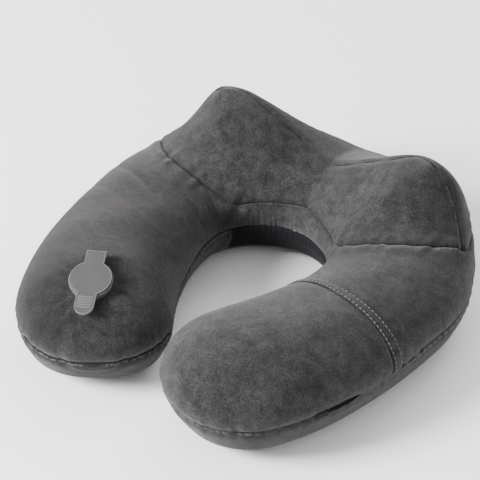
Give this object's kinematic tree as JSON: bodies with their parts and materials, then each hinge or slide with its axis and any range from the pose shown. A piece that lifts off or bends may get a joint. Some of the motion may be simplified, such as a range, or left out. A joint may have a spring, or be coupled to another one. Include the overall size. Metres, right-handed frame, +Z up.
{
  "type": "u shaped neck pillow",
  "caption": "Inflatable U shaped travel neck pillow: air bladder in a removable velour cover with a raised crest, a concealed zip, a pocket and a flat hinged air valve.",
  "frame": {"origin": "under the middle of the pillow's bounding box, on the surface it lies on", "axes": "+Z up, the open end of the U towards -Y, the crest at +Y, the right arm at +X"},
  "size_m": [0.2996, 0.3209, 0.1087],
  "materials": {
    "velour": "short pile, charcoal grey",
    "velour_side": "short pile, charcoal grey",
    "smooth_band": "smooth knit, near black",
    "base_cloth": "flat woven",
    "binding": "stitched edge",
    "zip_tape": "woven tape, black",
    "zip_coil": "moulded nylon, black",
    "zip_metal": "black",
    "bladder_film": "satin film",
    "valve_plastic": "satin mid grey",
    "valve_rubber": "soft film"
  },
  "bodies": {
    "pillow": {"cover_top_panel": "velour", "cover_crest_front": "velour", "cover_crest_back": "velour", "cover_outer_band": "velour_side", "cover_inner_band": "smooth_band", "cover_base_panel": "base_cloth", "pocket_panel": "velour", "pocket_hem": "velour", "valve_opening_binding": "binding", "zip_tape_upper": "zip_tape", "zip_tape_lower": "zip_tape", "zip_coil_upper": "zip_coil", "zip_coil_lower": "zip_coil", "zip_end_stops": "zip_metal", "bladder_upper_film": "bladder_film", "bladder_lower_film": "bladder_film", "bladder_baffles": "bladder_film", "valve_base": "valve_plastic"},
    "zip_runner": {"zip_slider": "zip_metal"},
    "pull_tab": {"zip_pull_tab": "zip_metal"},
    "deflate_plug": {"valve_deflate_plug": "valve_plastic", "valve_flap_clip": "valve_plastic"},
    "check_flap": {"valve_check_flap": "valve_rubber"},
    "inflate_cap": {"valve_cap": "valve_plastic"}
  },
  "joints": [
    {"name": "deflate_plug_hinge", "type": "hinge", "parent": "pillow", "child": "deflate_plug", "pos_m": [-0.06518, -0.09781, 0.08262], "axis": [-0.9067, -0.4211, -0.0236], "range_deg": [0, 80]},
    {"name": "inflate_cap_hinge", "type": "hinge", "parent": "deflate_plug", "child": "inflate_cap", "pos_m": [-0.06496, -0.09841, 0.08493], "axis": [-0.9067, -0.4211, -0.0236], "range_deg": [0, 100]},
    {"name": "check_flap_hinge", "type": "hinge", "parent": "deflate_plug", "child": "check_flap", "pos_m": [-0.05888, -0.111, 0.07581], "axis": [0.9067, 0.4211, 0.0236], "range_deg": [0, 55], "stiffness_Nm_per_rad": 0.0004, "springref_deg": -17.19},
    {"name": "zip_run", "type": "hinge", "parent": "pillow", "child": "zip_runner", "pos_m": [-0.14284, 0.00741, 0.0345], "axis": [0, 0, 1], "range_deg": [0, 17.9]},
    {"name": "pull_tab_hinge", "type": "hinge", "parent": "zip_runner", "child": "pull_tab", "pos_m": [0.12856, -0.10185, 0.0345], "axis": [0, 0, 1], "range_deg": [0, 165]}
  ]
}
